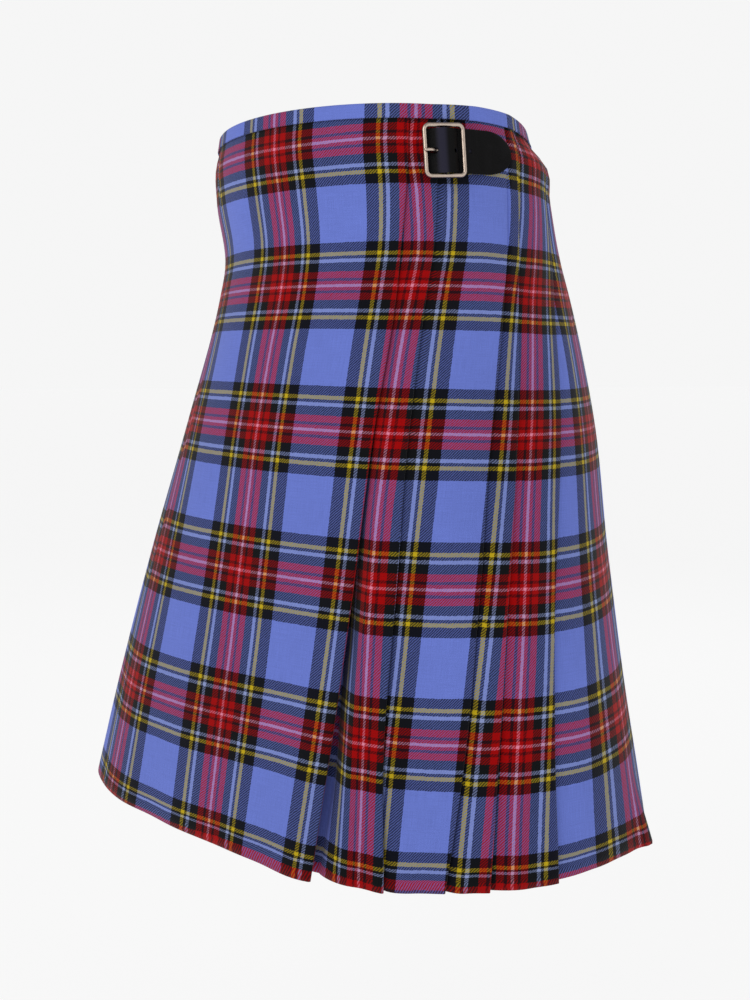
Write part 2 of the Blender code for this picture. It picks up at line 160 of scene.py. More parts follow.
CREASES = (
    # angle and down of the top, angle and down of the foot, half width, depth outwards
    (24, 250, 30, 520, 26, -2.6),
    (52, 300, 57, 520, 22, 1.8),
    (-20, 220, -30, 520, 30, -3.0),
    (0, 300, 2, 520, 22, 1.6),
    (-50, 260, -58, 520, 26, -2.4),
    (71, 300, 68.5, 540, 30, 10.0),
    (82, 300, 81.5, 540, 13, 6.0),
    (100, 340, 92, 520, 8, -1.1),
    (108, 250, 101, 520, 8, -1.0),
    (126, 230, 115, 520, 22, -1.6),
    (128, 455, 126.5, 520, 10, 9.0),
    (160, 300, 141, 520, 34, -6.5),
    (176, 260, 172, 520, 14, -1.6),
    (200, 300, 199, 520, 16, 1.2),
    (228, 250, 231, 520, 14, -1.4),
    (252, 320, 255, 520, 15, 1.1),
    (96, 40, 95, 190, 4, -0.35),
    (112, 60, 104, 210, 5, -0.35),
)
ROUND = np.arange(FIRST_ANGLE, LAST_ANGLE + 1, 1.0)
WAVES = np.arange(6)
TO_WAVES = np.linalg.pinv(np.cos(np.outer(np.radians(ANGLES), WAVES)))


def between(t, step, one, two, slope_one, slope_two):
    """Cubic at a share t of the step from one value to the next, with their slopes."""
    return (
        (2 * t**3 - 3 * t**2 + 1) * one
        + (t**3 - 2 * t**2 + t) * step * slope_one
        + (3 * t**2 - 2 * t**3) * two
        + (t**3 - t**2) * step * slope_two
    )


def through(rows, down):
    """Smooth line through the rows of a table, a value per column."""
    table = np.array(rows, float)
    xs, ys = table[:, 0], table[:, 1:]
    slope = np.gradient(ys, xs, axis=0)
    down = min(max(down, xs[0]), xs[-1])
    i = min(int(np.searchsorted(xs, down, side="right")) - 1, len(xs) - 2)
    step = xs[i + 1] - xs[i]
    return between((down - xs[i]) / step, step, ys[i], ys[i + 1], slope[i], slope[i + 1])


def straight(rows, down):
    """Straight lines through the rows of a table, a value per column."""
    table = np.array(rows, float)
    return [float(np.interp(down, table[:, 0], column)) for column in table[:, 1:].T]


def eased(low, high, value):
    """Smooth rise from 0 at low to 1 at high."""
    share = np.clip((value - low) / (high - low), 0, 1)
    return share * share * (3 - 2 * share)


def radius(down, angle):
    """Distance of the visible cloth from the waist's axis."""
    return float(np.cos(WAVES * math.radians(angle)) @ (TO_WAVES @ through(LEVELS, down)))


def degree(down, angle):
    """Length of one degree of the level line there."""
    return math.radians(1) * radius(down, angle)


def lap(angle):
    """The same angle, counted on from FIRST_ANGLE through one turn."""
    return (np.asarray(angle) - FIRST_ANGLE) % 360 + FIRST_ANGLE


def creased(down, angle):
    """How far the soft creases and ridges move every layer of the cloth out at one level."""
    moved, turned = np.zeros(len(angle)), lap(angle)
    for top, start, foot, end, half, depth in CREASES:
        share = (down - start) / (end - start)
        if 0 < share < CREASE_FADES:
            line = top + (foot - top) * share
            across = np.radians(turned - line) * radius(down, line)
            strength = depth * eased(0, 1, share) * eased(CREASE_FADES, 1, share)
            moved += strength * np.exp(-((across / half) ** 2))
    return moved


def length_along(points):
    """Distance along a line of points up to each of them."""
    return np.concatenate(([0], np.cumsum(np.linalg.norm(np.diff(points, axis=0), axis=1))))


def place(down, angle, off):
    """Points in metres on the visible cloth's level line at some angles, moved out by off."""
    angle, off = np.broadcast_arrays(np.asarray(angle, float), np.asarray(off, float))
    waves = TO_WAVES @ through(LEVELS, down)
    turned = np.radians(angle)[:, None] * WAVES
    r, dr = np.cos(turned) @ waves, -(np.sin(turned) * WAVES) @ waves
    a = np.radians(angle)
    point = np.stack((r * np.sin(a), -r * np.cos(a)), axis=1)
    along = np.stack((dr * np.sin(a) + r * np.cos(a), -dr * np.cos(a) + r * np.sin(a)), axis=1)
    out = np.stack((along[:, 1], -along[:, 0]), axis=1) / np.linalg.norm(along, axis=1)[:, None]
    point = point + out * (off + creased(down, angle))[:, None]
    return np.column_stack((point, np.full(len(angle), -down))) / 1000


def run_round(down):
    """Distance along the level line at each angle of ROUND."""
    return length_along(place(down, ROUND, 0)[:, :2] * 1000)


def reading(run, angle, known):
    """Distance across the tartan at some angles, from known lines, and true beyond them."""
    here = np.interp(angle, ROUND, run)
    at = np.interp([line for line, _ in known], ROUND, run)
    values = np.array([value for _, value in known], float)
    found = np.interp(here, at, values)
    found = np.where(here < at[0], values[0] - (at[0] - here), found)
    return np.where(here > at[-1], values[-1] + here - at[-1], found)


def edges_at(down):
    """Angle of every fold edge at one level, those of the back shared out evenly."""
    *near, last = through(EDGES, down)
    return near + [near[-1] + (last - near[-1]) * (k + 1) / BACK_PLEATS for k in range(BACK_PLEATS)]


def fold_depths(down, edges):
    """Degrees that each fold reaches back under its own edge."""
    depths = [FOLD_UNDER / degree(down, edges[0])]
    for before, edge in zip(edges, edges[1:]):
        depths.append(min(FOLD_SHARE * (edge - before), FOLD_MOST / degree(down, edge)))
    return depths


def turn(down, angle, off, way, angles):
    """Angles and offsets round the half turn that takes a layer in by one step."""
    a = np.radians(angles)
    return angle + way * TURN * np.sin(a) / degree(down, angle), off - TURN + TURN * np.cos(a)


def panel_reads(k, down, edges, run, angle):
    """Distance across the tartan at some angles of panel k."""
    if k in READS:
        lines = through(STRIPES, down)
        known = [(lines[i], value) for i, value in READS[k]]
    else:
        known = [(edges[k], SIXTH_READS + PLEAT_READS * (k - 5))]
    found = reading(run, angle, known)
    shows = SECOND_READS - SECOND_OPENS * eased(*OPENS_BETWEEN, down)
    return np.maximum(found, shows) if k == 2 else found


def weft_reads(down, angle):
    """Distance down the tartan at some angles of one level."""
    sags = np.interp(lap(angle), SAG_ANGLES, straight(SAG, down), left=0, right=0)
    return np.interp(down - sags, *np.array(WEFT).T)


def finished(name, bm, material, smooth=True):
    """Object at the origin from a finished mesh."""
    for face in bm.faces:
        face.smooth = smooth
    mesh = bpy.data.meshes.new(name)
    bm.to_mesh(mesh)
    bm.free()
    made = bpy.data.objects.new(name, mesh)
    bpy.context.scene.collection.objects.link(made)
    mesh.materials.append(material)
    return made


def cloth(name, steps, section, material, thick=WOOL):
    """Grid of cloth through the sections (level, angles, offsets, place across and down the tartan)."""
    found = [section(step) for step in steps]
    points = np.array([place(down, angle, off) for down, angle, off, *_ in found])
    for row, (down, angle, *_) in zip(points, found):
        waist = np.interp(down, (0, WAIST_LIFT_ENDS), (1, 0)) * np.interp(angle, *WAIST_LIFT)
        hem = eased(HEM_LIFT_STARTS, HEM_DOWN, down) * np.interp(angle, *HEM_LIFT)
        row[:, 2] += 0.001 * (waist + hem)
    warp, weft = (np.array([row[n] for row in found]) / 1000 for n in (3, 4))
    rows, columns = points.shape[:2]
    bm = bmesh.new()
    bmesh.ops.create_grid(bm, x_segments=columns - 1, y_segments=rows - 1, size=1)
    chart = bm.loops.layers.uv.new("cloth")
    spot = {}
    for vert in bm.verts:
        i = round((vert.co.x + 1) / 2 * (columns - 1))
        j = rows - 1 - round((vert.co.y + 1) / 2 * (rows - 1))
        spot[vert.index] = (j, i)
        vert.co = points[j, i]
    for face in bm.faces:
        for loop in face.loops:
            j, i = spot[loop.vert.index]
            loop[chart].uv = (warp[j, i], weft[j, i])
    made = finished(name, bm, material)
    walls = made.modifiers.new("wall", "SOLIDIFY")
    walls.thickness, walls.offset = thick / 1000, 0
    return made


def feed(tree, inputs, feeds):
    """Feeds inputs from sockets or values."""
    for name, value in dict(feeds).items():
        if isinstance(value, bpy.types.NodeSocket):
            tree.links.new(value, inputs[name])
        else:
            inputs[name].default_value = value


def node(tree, kind, feeds=(), **settings):
    """Adds a node, sets it and feeds its inputs."""
    made = tree.nodes.new(kind)
    for name, value in settings.items():
        setattr(made, name, value)
    feed(tree, made.inputs, feeds)
    return made


def maths(tree, operation, *values):
    """Result of a sum on sockets or values."""
    return node(tree, "ShaderNodeMath", enumerate(values), operation=operation).outputs[0]


def vectors(tree, operation, *values):
    """The same on vectors."""
    return node(tree, "ShaderNodeVectorMath", enumerate(values), operation=operation).outputs[0]


def scaled(tree, vector, size):
    """The vector, or colour, made larger or smaller."""
    return node(tree, "ShaderNodeVectorMath", {0: vector, "Scale": size}, operation="SCALE").outputs[0]


def noise(tree, vector, scale, detail):
    """Cloudy mask of some fineness."""
    feeds = {"Vector": vector, "Scale": scale, "Detail": detail}
    return node(tree, "ShaderNodeTexNoise", feeds).outputs["Fac"]


def ranged(tree, value, low, high, to_low, to_high, **settings):
    """Value spread from one range to another, and held inside it."""
    feeds = {"Value": value, 1: low, 2: high, 3: to_low, 4: to_high}
    return node(tree, "ShaderNodeMapRange", feeds, **settings).outputs[0]


def blend(tree, share, one, two):
    """Colour between two, by a mask."""
    return node(tree, "ShaderNodeMix", {"Factor": share, 6: one, 7: two}, data_type="RGBA").outputs[2]


def bumped(tree, height, strength, distance):
    """Normal of a face with that height."""
    feeds = {"Height": height, "Strength": strength, "Distance": distance}
    return node(tree, "ShaderNodeBump", feeds).outputs[0]


def group_of(name, inputs, outputs):
    """A node group with its sockets, and its input and output nodes."""
    made = bpy.data.node_groups.new(name, "ShaderNodeTree")
    for way, sockets in (("INPUT", inputs), ("OUTPUT", outputs)):
        for word, kind in sockets:
            made.interface.new_socket(word, in_out=way, socket_type=kind)
    return made, made.nodes.new("NodeGroupInput").outputs, made.nodes.new("NodeGroupOutput").inputs


def blank(name):
    """A new material, its tree and its shader's inputs."""
    made = bpy.data.materials.new(name)
    made.use_nodes = True
    return made, made.node_tree, made.node_tree.nodes["Principled BSDF"].inputs


# Threads of half the sett, counted from the white pivot to the middle of the blue ground.
DYES = {
    "white": (0.85, 0.50, 0.60),
    "red": (0.59, 0.03, 0.04),
    "black": (0.080, 0.087, 0.095),
    "guard": (0.24, 0.045, 0.075),
    "light": (0.53, 0.58, 0.76),
    "yellow": (0.72, 0.62, 0.12),
    "navy": (0.075, 0.080, 0.115),
    "blue": (0.405, 0.470, 0.790),
}
HALF_SETT = (
    ("white", 1.9), ("red", 4.7), ("guard", 3.8), ("red", 9.6), ("black", 12.2),
    ("light", 5.4), ("black", 4.4), ("yellow", 5.2), ("navy", 13.3), ("blue", 40),
)
HALF_THREADS = sum(threads for _, threads in HALF_SETT)
WARP_NAVY = 4.2                # more navy threads in the warp, out of the blue
TWILL_PITCH = 0.0020           # metres across and down the cloth from one ridge to the next
THREAD_WANDER = 0.0010
FURROW, RIDGE = 0.14, 0.86     # share of the weft that shows in the twill's furrows and on its ridges


def dyed(tree, across, more_navy):
    """Dye of the thread at a distance across the cloth, with some of the blue warped in navy."""
    half = SETT / 2000
    share = maths(tree, "DIVIDE", maths(tree, "PINGPONG", across, half), half)
    ramp = node(tree, "ShaderNodeValToRGB", {"Fac": share})
    ramp.color_ramp.interpolation = "CONSTANT"
    stops, start = ramp.color_ramp.elements, 0.0
    for number, (dye, threads) in enumerate(HALF_SETT):
        at = start / HALF_THREADS
        stop = stops[number] if number < 2 else stops.new(at)
        stop.position = at
        stop.color = (*DYES[dye], 1)
        start += threads + more_navy * (dye == "navy")
    return ramp.outputs["Color"]


def tartan_twill():
    """Colour, ridges and fuzz of the cloth at a place (metres across and down it)."""
    tree, given, gives = group_of(
        "tartan twill",
        (("Cloth", "NodeSocketVector"),),
        (("Colour", "NodeSocketColor"), ("Ridge", "NodeSocketFloat"), ("Fuzz", "NodeSocketFloat")),
    )
    cloth_at = given["Cloth"]
    cloud = node(tree, "ShaderNodeTexNoise", {"Vector": cloth_at, "Scale": 420, "Detail": 2})
    cloud = vectors(tree, "SUBTRACT", cloud.outputs["Color"], (0.5, 0.5, 0.5))
    wander = scaled(tree, cloud, THREAD_WANDER)
    warp, weft, _ = node(tree, "ShaderNodeSeparateXYZ", {0: vectors(tree, "ADD", cloth_at, wander)}).outputs
    wave = maths(tree, "PINGPONG", maths(tree, "DIVIDE", maths(tree, "ADD", warp, weft), TWILL_PITCH), 0.5)
    ends, picks = dyed(tree, warp, WARP_NAVY), dyed(tree, weft, 0)

    # Red threads cover the blue and the yellow ones that they cross.
    over, under = (node(tree, "ShaderNodeSeparateColor", {"Color": dye}).outputs for dye in (picks, ends))
    redder = maths(tree, "SUBTRACT", over[0], under[0])
    greener = maths(tree, "SUBTRACT", under[1], over[1])
    flush = maths(tree, "MAXIMUM", maths(tree, "MULTIPLY", redder, greener), 0)
    lean = maths(tree, "MULTIPLY", maths(tree, "SIGN", redder), flush)
    unblue = [maths(tree, "SUBTRACT", 1, dye[2]) for dye in (over, under)]
    warmth = maths(tree, "POWER", maths(tree, "MULTIPLY", *unblue), 3)
    warmth = maths(tree, "MULTIPLY", maths(tree, "MULTIPLY", over[0], under[0]), warmth)
    amber = maths(tree, "MULTIPLY", warmth, greener)
    lean = maths(tree, "ADD", lean, maths(tree, "MULTIPLY", amber, 0.9))
    mask = ranged(tree, maths(tree, "ADD", wave, lean), 0, 0.5, FURROW, RIDGE)
    mixed = blend(tree, mask, ends, picks)

    # The tone: streaks along each thread, fuzz, wear, and painted shade darkening the furrows between
    # unlike threads.
    apart = node(tree, "ShaderNodeVectorMath", {0: ends, 1: picks}, operation="DISTANCE").outputs["Value"]
    mingled = maths(tree, "MULTIPLY", mask, maths(tree, "SUBTRACT", 1, mask))
    # Painted shade: the colour is darkened where unlike threads meet, as if those furrows lay in shadow.
    furrow_shade = maths(tree, "MULTIPLY", maths(tree, "MINIMUM", maths(tree, "MULTIPLY", apart, 2), 1), mingled)
    streaks = [
        noise(tree, vectors(tree, "MULTIPLY", cloth_at, stretch), 1, 1)
        for stretch in ((1900, 60, 1), (60, 1900, 1))
    ]
    along = {"Factor": mask, 2: streaks[0], 3: streaks[1]}
    streak = node(tree, "ShaderNodeMix", along, data_type="FLOAT").outputs[0]
    fuzz, worn = noise(tree, cloth_at, 1500, 3), noise(tree, cloth_at, 14, 3)
    tone = 0.77
    for mark, strength in ((streak, 0.22), (fuzz, 0.14), (worn, 0.10), (furrow_shade, -0.18), (flush, 1.2)):
        tone = maths(tree, "ADD", tone, maths(tree, "MULTIPLY", mark, strength))
    deep = node(tree, "ShaderNodeGamma", {"Color": scaled(tree, mixed, tone), "Gamma": 2.2}).outputs[0]
    ridge = maths(tree, "ADD", mask, maths(tree, "MULTIPLY", streak, 0.5))
    feed(tree, gives, {"Colour": deep, "Ridge": ridge, "Fuzz": fuzz})
    return tree


TARTAN = tartan_twill()


def wool(name):
    """Worsted twill with a soft dry sheen, its tartan read from the piece's own map."""
    made, tree, shader = blank(name)
    chart = node(tree, "ShaderNodeUVMap", uv_map="cloth").outputs[0]
    colour, ridge, fuzz = node(tree, "ShaderNodeGroup", node_tree=TARTAN).outputs
    feed(tree, colour.node.inputs, {"Cloth": chart})
    height = maths(tree, "ADD", ridge, maths(tree, "MULTIPLY", fuzz, 0.8))
    feed(tree, shader, {
        "Base Color": colour,
        "Roughness": ranged(tree, fuzz, 0, 1, 0.78, 0.95),
        "Normal": bumped(tree, height, 0.45, 0.00025),
        "Specular IOR Level": 0.06,
        "Sheen Weight": 0.12,
        "Sheen Roughness": 0.45,
    })
    return made


turned_in = {}                 # whole repeats that each fold hides, the same at every level


def ramp_reads(down, angle, off):
    """Tartan readings of the first pleat: true along it, and drawn closer where it leaves the fold."""
    run = length_along(place(down, angle, off)[:, :2] * 1000)
    white = through(STRIPES, down)[3]
    true = run - np.interp(white, angle, run)
    drawn = (angle - white) * np.interp(down, *RAMP_SCALE)
    return SETT + np.where(angle < white, true + (drawn - true) * eased(*RAMP_DRAWN, down), true)


def panel_line(k, down, before, edge, depth, start):
    """Angles and offsets of panel k, from where it climbs out of the last fold to its own edge."""
    first, wide = k == 1, k == WIDE_PANEL
    rise = (edge - depth - before) * (WIDE_CLIMB if wide else 1)
    share = np.linspace(0, 1, 13 if first else 7)[:-1]
    lift = 1 - (1 - share) ** (np.interp(down, *FIRST_CLIMB) if first else CLIMB)
    flat = np.linspace(0, 1, 28 if wide else 9)
    angle = np.concatenate((before + rise * share, before + rise + (edge - before - rise) * flat))
    return angle, np.concatenate((start + (FACE - start) * lift, np.full(len(flat), FACE)))


def fold_line(down, edge, depth, opens):
    """Angles and offsets of the cloth that turns back under an edge, and forward again below that."""
    back = np.linspace(0, 1, 5)
    forth = back[:-1]
    legs = (
        turn(down, edge, FACE, 1, TURN_STEPS),
        (edge - depth * back, FACE - LAYER - opens * back),
        turn(down, edge - depth, FACE - LAYER - opens, -1, (45, 90, 135)),
        (edge - depth * (1 - forth), np.full(len(forth), FACE - 2 * LAYER - opens)),
    )
    return [np.concatenate(line) for line in zip(*legs)]


def pleats_section(down):
    """Angles, offsets and tartan readings along the pleated cloth at one level."""
    edges = edges_at(down)
    depths = fold_depths(down, edges)
    run = run_round(down)
    deep, opens = straight(OPENING, down)[:2]
    bottom = FACE - 2 * LAYER
    ahead = FIRST_AHEAD * eased(*AHEAD_GROWS, down) * eased(*AHEAD_ENDS, down)
    share = np.linspace(0, 1, 9)[:-1]
    angle = [edges[0] - ahead - depths[0] * (1 - share)]
    off = [bottom - deep * (1 - FOLD_RISE * share)]
    reads, slips = [], [np.zeros(len(share))]
    carried = 0.0
    for k in range(1, len(edges)):
        edge, first = edges[k], k == 1
        before = edges[k - 1] - (ahead if first else 0)
        start = bottom - (deep * (1 - FOLD_RISE) if first else opens)
        panel = panel_line(k, down, before, edge, depths[k], start)
        fold = fold_line(down, edge, depths[k], opens)
        angle += [panel[0], fold[0]]
        off += [panel[1], fold[1]]
        if first:
            seen = ramp_reads(down, *panel)
            reads.append(seen[0] - FOLD_UNDER * (1 - share))
        else:
            seen = panel_reads(k, down, edges, run, panel[0]) + carried
        if edge == edges[-1]:
            goal = seen[-1] + LAST_FOLD_READS
        else:
            onward = panel_reads(k + 1, down, edges, run, np.array([edge]))[0]
            if k not in turned_in:
                turned_in[k] = SETT * round((FOLD_READS - (onward - (seen[-1] - carried))) / SETT)
            carried += turned_in[k]
            goal = onward + carried
        rim = seen[-1] + TURN_TAKES * np.array(TURN_STEPS) / 180
        left = len(fold[0]) - len(rim) + 1
        reads += [seen, rim, rim[-1] + (goal - rim[-1]) * np.arange(1, left) / left]
        slip, next_slip = (eased(*SLIPS_BETWEEN, down) * PLEAT_SLIPS.get(n, 0) for n in (k, k + 1))
        slips += [np.full(len(seen), slip), np.linspace(slip, next_slip, len(fold[0]))]
    tail = np.linspace(0, 1, 6)
    angle.append(edges[-1] + (BACK_END - edges[-1]) * tail)
    off.append(bottom - opens * (1 - tail))
    here = np.interp(angle[-1], ROUND, run)
    reads.append(goal + here - here[0])
    slips.append(np.zeros(len(tail)))
    angle, off, reads, slips = (np.concatenate(parts) for parts in (angle, off, reads, slips))
    return down, angle, off, reads, weft_reads(down, angle) - slips


pleats_wool = wool("pleats wool")
pleats = cloth("pleated_cloth", np.linspace(CLOTH_TOP, HEM_DOWN, 82), pleats_section, pleats_wool)
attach(pleats, "root")
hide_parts("pleated_back")

# ---- Over apron ----
# The plain front panel of the same wool. It lies over the pleats at the right hip, crosses the front,
# and its left edge is folded back deeply under itself to make the first pleat.
OVER_LIFT, OVER_LIES = 4.6, (-66, -42)    # it lies so far out at the right hip, and down between these
APRON_SIDE = -60                          # the cloth is divided less finely beyond it
APRON_FREE = ((0, -86), (219, -84), (501, -72))    # down, angle of its free edge


def over_lift(angle):
    """How far the over apron lies out from the level line."""
    return OVER_LIFT * np.interp(angle, OVER_LIES, (1, 0))


def apron_section(down):
    """Angles, offsets and tartan readings from the free edge to the end of the fold, at one level."""
    edges = edges_at(down)
    depth = fold_depths(down, edges)[0]
    opens = straight(OPENING, down)[0]
    free = straight(APRON_FREE, down)[0]
    side = np.linspace(free, APRON_SIDE, 12)[:-1]
    across = np.concatenate((side, np.linspace(APRON_SIDE, edges[0], 108)))
    under = np.linspace(0, 1, 8)
    bend = turn(down, edges[0], FACE, 1, TURN_STEPS)
    angle = np.concatenate((across, bend[0], edges[0] - depth * under))
    off = np.concatenate((over_lift(across) + FACE, bend[1], FACE - LAYER - opens * under))
    seen = panel_reads(0, down, edges, run_round(down), across)
    rim = TURN_TAKES * np.arange(1, 6) / 5
    reads = np.concatenate((seen, seen[-1] + rim, seen[-1] + TURN_TAKES + FOLD_UNDER * under))
    return down, angle, off, reads, weft_reads(down, angle)


apron_wool = wool("apron wool")
over_apron = cloth("over_apron_cloth", np.linspace(CLOTH_TOP, HEM_DOWN, 82), apron_section, apron_wool)
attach(over_apron, "root")
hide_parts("over_apron")

# ---- Under apron ----
# The other end of the same cloth, plain and unpleated. It runs from the right hip behind the over
# apron to below the left buckle, and hangs a little straighter than the cloth over it.
UNDER_END, SEAM = 445.0, 0.3   # angle of its hidden end, and its gap at the other
SINKS_FROM, SINKS_TO = BACK_END + 1, BACK_END + 37
UNDER_READS = 2 * SETT + 20    # how far across the tartan its cloth is at the seam


def under_sink(angle):
    """Share of its full distance inwards that the under apron has reached."""
    return eased(SINKS_FROM, SINKS_TO, angle)


def under_section(down):
    """Angles, offsets and tartan readings from the seam at the back to the hidden end, at one level."""
    hangs = straight(OPENING, down)[2]
    angle = np.linspace(BACK_END + SEAM / degree(down, BACK_END), UNDER_END, 96)
    off = FACE - 2 * LAYER - under_sink(angle) * hangs
    reads = reading(run_round(down), angle, [(BACK_END, UNDER_READS)])
    return down, angle, off, reads, weft_reads(down, angle)


under_wool = wool("under apron wool")
under_apron = cloth("under_apron_cloth", np.linspace(CLOTH_TOP, HEM_DOWN, 62), under_section, under_wool)
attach(under_apron, "root")
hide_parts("under_apron")

# ---- Waistband ----
# A narrow strip of the same wool, cut along the blue ground, folded over the raw top edges of all
# the pieces and stitched through, from the over apron's free edge round to the under apron's end.
BAND_TOP, BAND_DEPTH, BAND_CLOTH, BAND_GAP = 0.9, 10.4, 1.1, 0.45
BAND_WEFT = 46.0               # how far down the tartan it is cut
BAND_READS = (
    # angle, and how far across the tartan it is there
    (3, -102), (36.9, -22.1), (47.6, 0), (57.6, 22.6), (80.6, 79.9), (89.9, 102), (99.6, 124.1),
    (104.4, 132.7), (122.5, 173.3), (125.9, 181.9),
)
BAND_ANGLES = np.concatenate((np.linspace(-86, BACK_END, 188), np.linspace(BACK_END + 2, UNDER_END, 78)))
BAND_MID = BAND_GAP + BAND_CLOTH / 2
FRONT_END = 100                # the over apron ends before this angle
LEAVES_BACK = (270, BACK_END - 6)
ENTERS_FOLD = (54, 78)


def band_legs(angle):
    """Offsets of the band's outer and inner leg at some angles."""
    stack = -2 * LAYER - SOLID_WOOL
    front, back = angle < FRONT_END, angle < BACK_END + 1
    folded = np.interp(angle, ENTERS_FOLD, (0, 1))
    outer_front = over_lift(angle)
    inner_front = (outer_front - SOLID_WOOL) * (1 - folded) + stack * folded
    outer_back = np.interp(angle, LEAVES_BACK, (0, -2 * LAYER))
    outer_under = -2 * LAYER - under_sink(angle) * OPENING[0][3]
    outer = np.where(front, outer_front, np.where(back, outer_back, outer_under))
    inner = np.where(front, inner_front, np.where(back, stack, outer_under - SOLID_WOOL))
    return outer + BAND_MID, inner - BAND_MID


def band_path():
    """Down, and the share of the way in, at points up the band's face, over its top and down inside."""
    shoulder = BAND_TOP + 0.8
    up = [(BAND_DEPTH + (shoulder - BAND_DEPTH) * t, 0) for t in np.linspace(0, 1, 10)]
    top = [(BAND_TOP + 0.15, 0.12), (BAND_TOP, 0.5), (BAND_TOP + 0.15, 0.88)]
    inside = [(shoulder + (BAND_DEPTH - shoulder) * t, 1) for t in np.linspace(0, 1, 10)]
    return up + top + inside


def band_section(step):
    """Angles, offsets and tartan readings along the band at one step of its path."""
    down, share = step
    outer, inner = band_legs(BAND_ANGLES)
    off = outer + (inner - outer) * share
    weft = np.full(len(off), BAND_WEFT + down * (1 if share < 0.5 else -1))
    return down, BAND_ANGLES, off, reading(run_round(0), BAND_ANGLES, BAND_READS), weft


band_wool = wool("waistband wool")
waistband = cloth("waistband_cloth", band_path()[::-1], band_section, band_wool, thick=1.0)
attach(waistband, "root")
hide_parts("waistband")

# ---- Straps and tabs ----
# Black smooth bridle leather. Each strap passes under the buckle's near side, over its middle bar and
# under the far side, and ends in a rounded tip. A short doubled tab holds the buckle to the cloth.
SIDES = {1: "left", -1: "right"}
BUCKLE_ANGLE, BUCKLE_DOWN = 97.0, 31.8
CLOSURE_TILT = 3.6             # degrees that the strap and buckle rise away from the front
STRAP_WIDTH, STRAP_THICK = 29.6, 1.4
TIP_FROM, TIP_LONG, TIP_CURVE = 35.0, 26.0, 2.1
TAB_WIDTH, TAB_THICK = 22.0, 1.0
STRIP_STEP = 0.9               # points along a strip of leather are no further apart
BAR_STAND = 4.0                # the middle bar's height off the cloth
BUCKLE_PATH = [
    # along the cloth away from the front, and out from it: round the bar and on to the tip
    (-12.4, 3.4), (-9.6, 4.0), (-7, 5.2), (-4.4, 6.9), (-2.2, 7.95), (0, 8.25), (2.2, 8), (5, 7), (9, 5.1),
    (12.4, 3.6), (16, 3.6), (20, 3.5), (24, 2.8), (28, 1.9), (33, 1.3), (38, 1.25), (46, 1.25), (51, 1.25),
    (55, 1.25), (58.5, 1.25), (60.2, 1.25), (60.9, 1.25),
]
STRAP_START = {
    # the left strap comes out of the cloth, the right one from under the over apron
    1: [(-13.6, 3.0)],
    -1: [(-60, 5.65), (-48, 5.65), (-36, 5.65), (-26, 5.65), (-20.5, 4.7), (-15.5, 3.4)],
}
HOLES = (
    # place along the strap, length, width, and the heights between which it is punched
    (-7.6, 5.4, 2.9, 2.8, 11), (8.2, 2.4, 2.4, 2.2, 11), (20.4, 2.4, 2.4, 1.6, 11),
)
TAB_SLOT = ((0.3, 8.6, 3.0, 0.2, 8),)
TAB_BEND = 1.75
TAB_LOOP = (-90, -112, -135, -158, 180, 158, 135, 112, 90, 60)    # degrees round the middle bar


def round_bar(reach, degrees):
    """Points of (x, n) round the middle bar."""
    turns = [math.radians(a) for a in degrees]
    return [(reach * math.cos(a), BAR_STAND + reach * math.sin(a)) for a in turns]


TAB_PATH = [(23, 0.9), (14, 0.9), (7, 0.9), (4, 1.5), (2, 2.1)] + round_bar(TAB_BEND, TAB_LOOP)
TAB_PATH += [(3.4, 4.6), (6.0, 3.0), (9, 2.15), (18, 2.1)]


def along_cloth(side, x, y, n):
    """A point of the leather on the cloth: x along it away from the front, y up, n out."""
    tilt = math.radians(CLOSURE_TILT)
    x, y = x * math.cos(tilt) - y * math.sin(tilt), x * math.sin(tilt) + y * math.cos(tilt)
    angle = BUCKLE_ANGLE + x / degree(BUCKLE_DOWN, BUCKLE_ANGLE)
    return Vector(place(BUCKLE_DOWN - y, [side * angle], n)[0])


def buckle_plane(side):
    """Matrix of the metal's flat plane: x along the cloth, y up it and z out, in millimetres."""
    level, angle = BUCKLE_DOWN - 12, [side * BUCKLE_ANGLE]
    above, below = (Vector(place(down, angle, 0)[0]) for down in (level, level + 24))
    more = Vector(place(level, angle, 1)[0]) - above
    up = (above - below).normalized()
    along = Vector((-more[1], more[0], 0)).normalized() * side
    out = along.cross(up) * side
    made = Matrix((along, up, out)).transposed().to_4x4() * 0.001
    made[3][3] = 1
    tilted = Matrix.Rotation(math.radians(CLOSURE_TILT), 4, "Z")
    return Matrix.Translation((above + below) / 2) @ made @ tilted


def finer(path, most):
    """The same path with its corners eased and points no further apart than most."""
    path = np.array(path, float)
    run = length_along(path)
    slope = np.gradient(path, run, axis=0)
    found = []
    for i, step in enumerate(np.diff(run)):
        count = max(1, math.ceil(step / most))
        for t in np.arange(count) / count:
            found.append(between(t, step, path[i], path[i + 1], slope[i], slope[i + 1]))
    return found + [path[-1]]


def punch(name, side, hole, material):
    """Slot-shaped punch standing in the buckle's plane."""
    x, long, wide, low, high = hole
    bm = bmesh.new()
    bmesh.ops.create_cone(
        bm, cap_ends=True, segments=20, radius1=wide / 2, radius2=wide / 2, depth=high - low,
    )
    bmesh.ops.translate(bm, verts=bm.verts, vec=(0, 0, (high + low) / 2))
    for vert in bm.verts:
        vert.co.x += math.copysign((long - wide) / 2, vert.co.x)
    bmesh.ops.translate(bm, verts=bm.verts, vec=(x, 0, 0))
    bmesh.ops.transform(bm, matrix=buckle_plane(side), verts=bm.verts)
    bmesh.ops.recalc_face_normals(bm, faces=bm.faces)
    return finished(name, bm, material)


